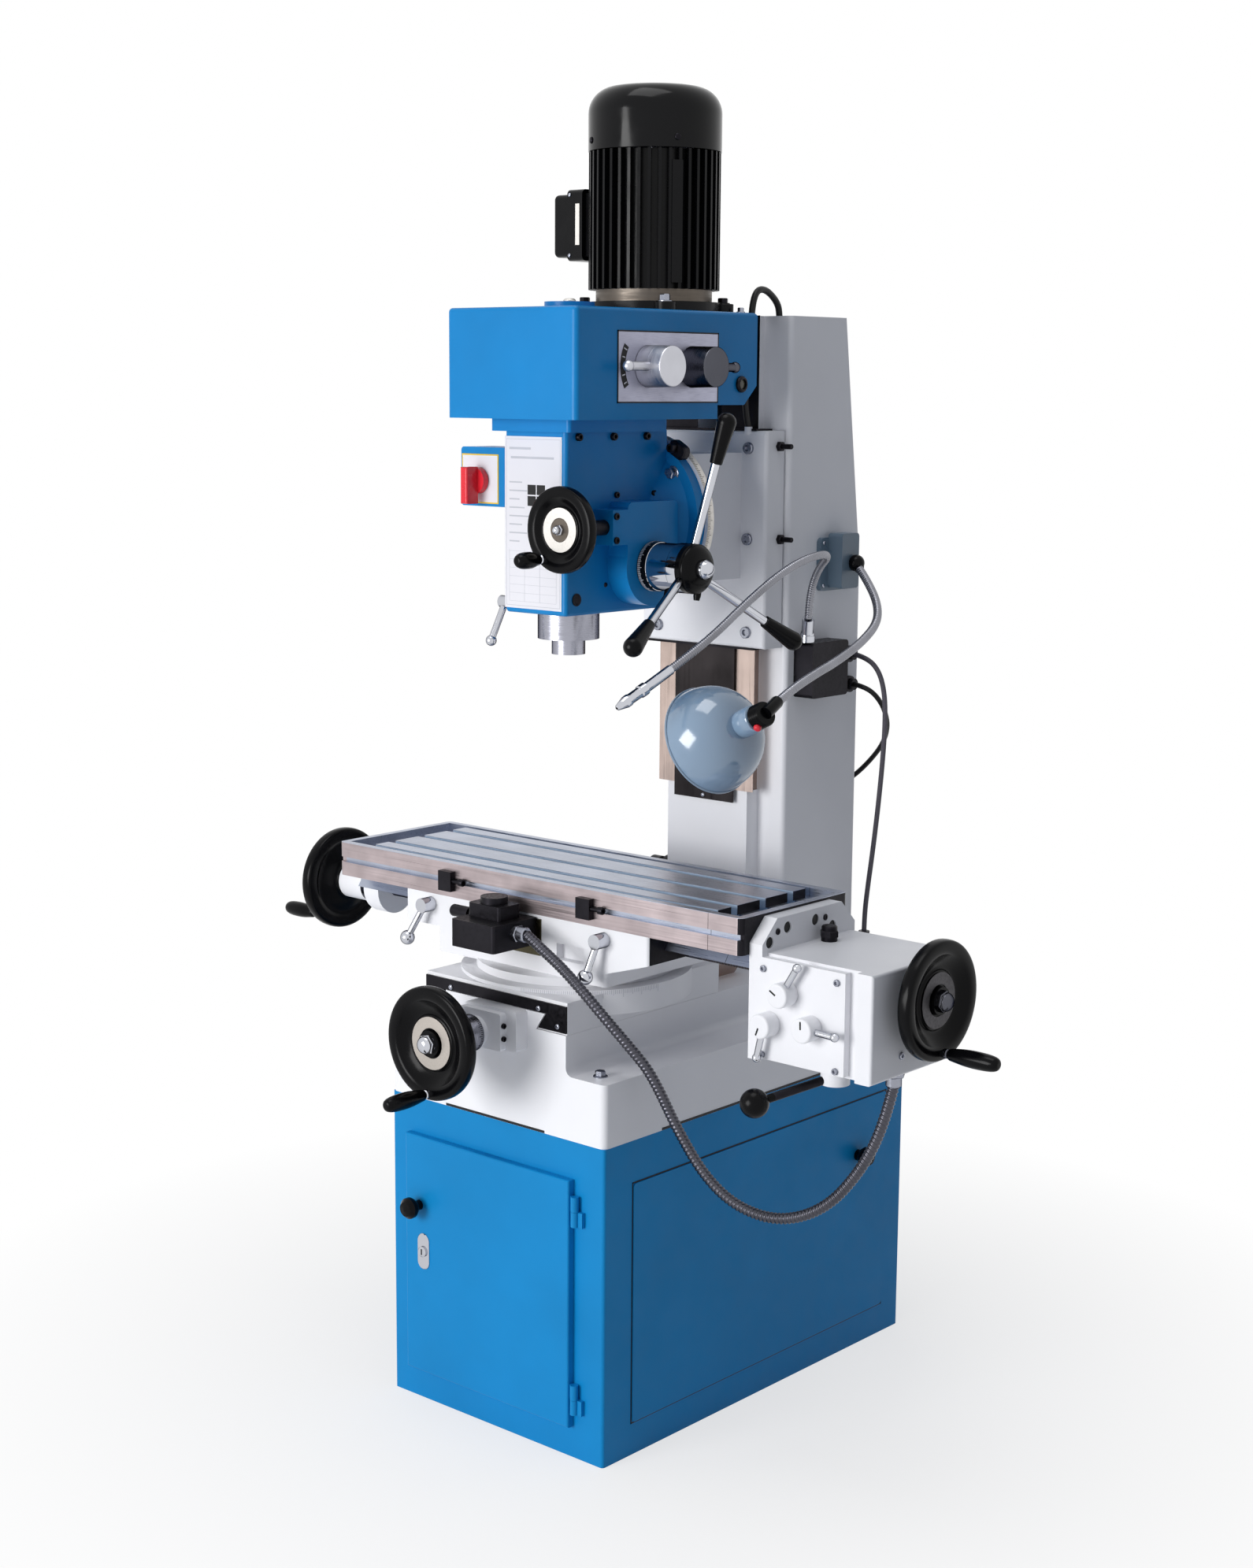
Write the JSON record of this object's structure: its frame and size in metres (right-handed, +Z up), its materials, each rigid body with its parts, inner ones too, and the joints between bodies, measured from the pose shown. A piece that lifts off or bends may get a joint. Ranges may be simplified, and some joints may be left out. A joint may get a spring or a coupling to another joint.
{
  "type": "mill drill",
  "caption": "Geared-head drilling and milling machine on a cabinet stand, with swivelling table, power table feed, motor on top, gooseneck lamp and coolant hose.",
  "frame": {"origin": "middle of the cabinet's underside, on the floor", "axes": "+Z up; the door faces -Y; the table's feed gearbox is at +X; the column stands towards +Y"},
  "size_m": [1.34, 0.967, 1.958],
  "materials": {
    "blue_paint": "satin",
    "white_paint": "gloss",
    "black_paint": "satin",
    "black_plastic": "gloss",
    "dark_steel": "satin",
    "chrome": "polished",
    "ground_iron": "ground",
    "bright_steel": "turned",
    "bronze": "turned",
    "flexible_metal": "satin",
    "grey_enamel": "gloss",
    "red_plastic": "gloss",
    "cable_rubber": "matt"
  },
  "bodies": {
    "stand": {"cabinet": "blue_paint", "side_panel": "blue_paint", "base_casting": "white_paint", "column": "white_paint", "y_screw_bracket": "white_paint", "coolant_block": "black_paint", "coolant_hose": "flexible_metal", "lamp_base": "blue_paint", "lamp_gooseneck": "flexible_metal", "lamp_shade": "grey_enamel", "cable_glands": "black_paint", "grey_cable": "cable_rubber", "black_cable": "cable_rubber"},
    "door": {"front_door": "blue_paint"},
    "panel_latch": {"side_panel_knob": "black_plastic"},
    "lift_drive": {"lift_crank": "black_paint"},
    "lift_screw": {"z_leadscrew": "bright_steel"},
    "carriage": {"carriage": "white_paint", "carriage_wipers": "dark_steel", "motor_cable": "cable_rubber"},
    "head": {"head_casting": "blue_paint", "feed_housing": "blue_paint", "gearbox_case": "blue_paint", "motor": "black_paint", "fan_cover": "black_paint", "terminal_box": "black_paint", "switch_box": "blue_paint"},
    "rotor": {"motor_rotor": "bright_steel"},
    "countershaft": {"gear_shaft": "bright_steel"},
    "sleeve": {"spindle_gear": "bright_steel"},
    "feed_hub": {"feed_hub": "chrome", "lever_grips": "black_plastic"},
    "quill": {"quill": "bright_steel"},
    "spindle": {"spindle": "bright_steel"},
    "fine_feed": {"fine_wheel": "black_plastic"},
    "worm_wheel": {"worm_wheel": "bronze"},
    "quill_lock": {"quill_lock": "chrome"},
    "speed_front": {"speed_knob_front": "chrome"},
    "speed_rear": {"speed_knob_rear": "chrome"},
    "switch": {"switch_knob": "red_plastic"},
    "cross_drive": {"y_leadscrew": "bright_steel", "y_handwheel": "black_plastic"},
    "cross_slide": {"cross_slide": "white_paint", "cross_slide_wiper": "dark_steel"},
    "saddle": {"upper_saddle": "white_paint", "limit_switch": "black_paint"},
    "lock_left": {"table_lock_left": "chrome"},
    "lock_right": {"table_lock_right": "chrome"},
    "trip": {"limit_plunger": "black_plastic"},
    "table": {"table": "ground_iron", "stop_dogs": "black_paint", "end_bracket": "white_paint", "feed_gearbox": "white_paint", "conduit": "flexible_metal"},
    "table_drive": {"x_leadscrew": "bright_steel", "x_handwheels": "black_plastic"},
    "feed_top": {"feed_knob_top": "white_paint"},
    "feed_left": {"feed_knob_left": "white_paint"},
    "feed_right": {"feed_knob_right": "white_paint"},
    "feed_lever": {"feed_lever": "dark_steel"}
  },
  "joints": [
    {"name": "door_hinge", "type": "hinge", "parent": "stand", "child": "door", "pos_m": [0.165, -0.3713, 0.2335], "axis": [0, 0, 1], "range_deg": [0, 110]},
    {"name": "panel_latch_turn", "type": "hinge", "parent": "stand", "child": "panel_latch", "pos_m": [0.217, 0.239, 0.321], "axis": [1, 0, 0], "range_deg": [0, 90]},
    {"name": "lift_crank_turn", "type": "hinge", "parent": "stand", "child": "lift_drive", "pos_m": [-0.13, 0.19, 0.745], "axis": [-1, 0, 0], "range_deg": [-12241, 9361]},
    {"name": "lift_screw_turn", "type": "hinge", "parent": "stand", "child": "lift_screw", "pos_m": [0, 0.19, 1.1], "axis": [0, 0, 1], "range_deg": [-9361, 12241]},
    {"name": "head_lift", "type": "slide", "parent": "stand", "child": "carriage", "axis": [0, 0, 1], "range_m": [-0.17, 0.13], "deforming": ["motor_cable"]},
    {"name": "head_swivel", "type": "hinge", "parent": "carriage", "child": "head", "pos_m": [0, -0.045, 1.335], "axis": [0, 1, 0], "range_deg": [-10, 45]},
    {"name": "motor_spin", "type": "hinge", "parent": "head", "child": "rotor", "pos_m": [0, -0.025, 1.75], "axis": [0, 0, 1], "continuous": true},
    {"name": "countershaft_spin", "type": "hinge", "parent": "head", "child": "countershaft", "pos_m": [0, -0.117, 1.55], "axis": [0, 0, 1], "continuous": true},
    {"name": "sleeve_spin", "type": "hinge", "parent": "head", "child": "sleeve", "pos_m": [0, -0.209, 1.52], "axis": [0, 0, 1], "continuous": true},
    {"name": "feed_hub_turn", "type": "hinge", "parent": "head", "child": "feed_hub", "pos_m": [0.164, -0.135, 1.272], "axis": [1, 0, 0], "range_deg": [0, 343.8]},
    {"name": "quill_feed", "type": "slide", "parent": "head", "child": "quill", "axis": [0, 0, -1], "range_m": [0, 0.12]},
    {"name": "spindle_spin", "type": "hinge", "parent": "quill", "child": "spindle", "pos_m": [0, -0.209, 1.2], "axis": [0, 0, 1], "continuous": true},
    {"name": "fine_feed_turn", "type": "hinge", "parent": "head", "child": "fine_feed", "pos_m": [0.08, -0.31, 1.33], "axis": [0, -1, 0], "continuous": true},
    {"name": "worm_wheel_turn", "type": "hinge", "parent": "head", "child": "worm_wheel", "pos_m": [0.08, -0.135, 1.272], "axis": [1, 0, 0], "continuous": true},
    {"name": "quill_lock_turn", "type": "hinge", "parent": "head", "child": "quill_lock", "pos_m": [-0.0604, -0.268, 1.218], "axis": [-1, 0, 0], "range_deg": [-30, 40]},
    {"name": "speed_front_turn", "type": "hinge", "parent": "head", "child": "speed_front", "pos_m": [0.1254, -0.181, 1.556], "axis": [1, 0, 0], "range_deg": [-60, 60]},
    {"name": "speed_rear_turn", "type": "hinge", "parent": "head", "child": "speed_rear", "pos_m": [0.1254, -0.085, 1.556], "axis": [1, 0, 0], "range_deg": [-60, 60]},
    {"name": "switch_turn", "type": "hinge", "parent": "head", "child": "switch", "pos_m": [-0.112, -0.278, 1.392], "axis": [0, -1, 0], "range_deg": [-60, 60]},
    {"name": "cross_wheel_turn", "type": "hinge", "parent": "stand", "child": "cross_drive", "pos_m": [0, -0.482, 0.614], "axis": [0, -1, 0], "range_deg": [-5401, 7201]},
    {"name": "cross_travel", "type": "slide", "parent": "stand", "child": "cross_slide", "axis": [0, -1, 0], "range_m": [-0.075, 0.1]},
    {"name": "table_swivel", "type": "hinge", "parent": "cross_slide", "child": "saddle", "pos_m": [0, -0.188, 0.677], "axis": [0, 0, 1], "range_deg": [-35, 35]},
    {"name": "lock_left_turn", "type": "hinge", "parent": "saddle", "child": "lock_left", "pos_m": [-0.19, -0.306, 0.757], "axis": [0, -1, 0], "range_deg": [-35, 35]},
    {"name": "lock_right_turn", "type": "hinge", "parent": "saddle", "child": "lock_right", "pos_m": [0.16, -0.306, 0.757], "axis": [0, -1, 0], "range_deg": [-35, 35]},
    {"name": "trip_press", "type": "slide", "parent": "saddle", "child": "trip", "axis": [1, 0, 0], "range_m": [0, 0.005], "stiffness_N_per_m": 600, "springref_m": -0.003},
    {"name": "table_travel", "type": "slide", "parent": "saddle", "child": "table", "axis": [1, 0, 0], "range_m": [-0.14, 0.14], "deforming": ["conduit"]},
    {"name": "table_screw_turn", "type": "hinge", "parent": "table", "child": "table_drive", "pos_m": [0.64, -0.188, 0.733], "axis": [1, 0, 0], "range_deg": [-10081, 10081]},
    {"name": "feed_top_turn", "type": "hinge", "parent": "table", "child": "feed_top", "pos_m": [0.474, -0.2904, 0.732], "axis": [0, -1, 0], "range_deg": [-40, 40]},
    {"name": "feed_left_turn", "type": "hinge", "parent": "table", "child": "feed_left", "pos_m": [0.445, -0.2904, 0.685], "axis": [0, -1, 0], "range_deg": [-40, 40]},
    {"name": "feed_right_turn", "type": "hinge", "parent": "table", "child": "feed_right", "pos_m": [0.515, -0.2904, 0.692], "axis": [0, -1, 0], "range_deg": [-40, 40]},
    {"name": "feed_lever_turn", "type": "hinge", "parent": "table", "child": "feed_lever", "pos_m": [0.515, -0.235, 0.603], "axis": [0, 0, -1], "range_deg": [-25, 25]}
  ],
  "couplings": [
    {"joint": "lift_screw_turn", "follows": "head_lift", "rad_per_m": -1256.6},
    {"joint": "lift_crank_turn", "follows": "head_lift", "rad_per_m": 1256.6},
    {"joint": "countershaft_spin", "follows": "motor_spin", "ratio": -0.4375},
    {"joint": "sleeve_spin", "follows": "motor_spin", "ratio": 0.19141},
    {"joint": "spindle_spin", "follows": "motor_spin", "ratio": 0.19141},
    {"joint": "feed_hub_turn", "follows": "quill_feed", "rad_per_m": 50},
    {"joint": "worm_wheel_turn", "follows": "fine_feed_turn", "ratio": 0.025},
    {"joint": "cross_wheel_turn", "follows": "cross_travel", "rad_per_m": 1256.6},
    {"joint": "table_screw_turn", "follows": "table_travel", "rad_per_m": 1256.6}
  ]
}
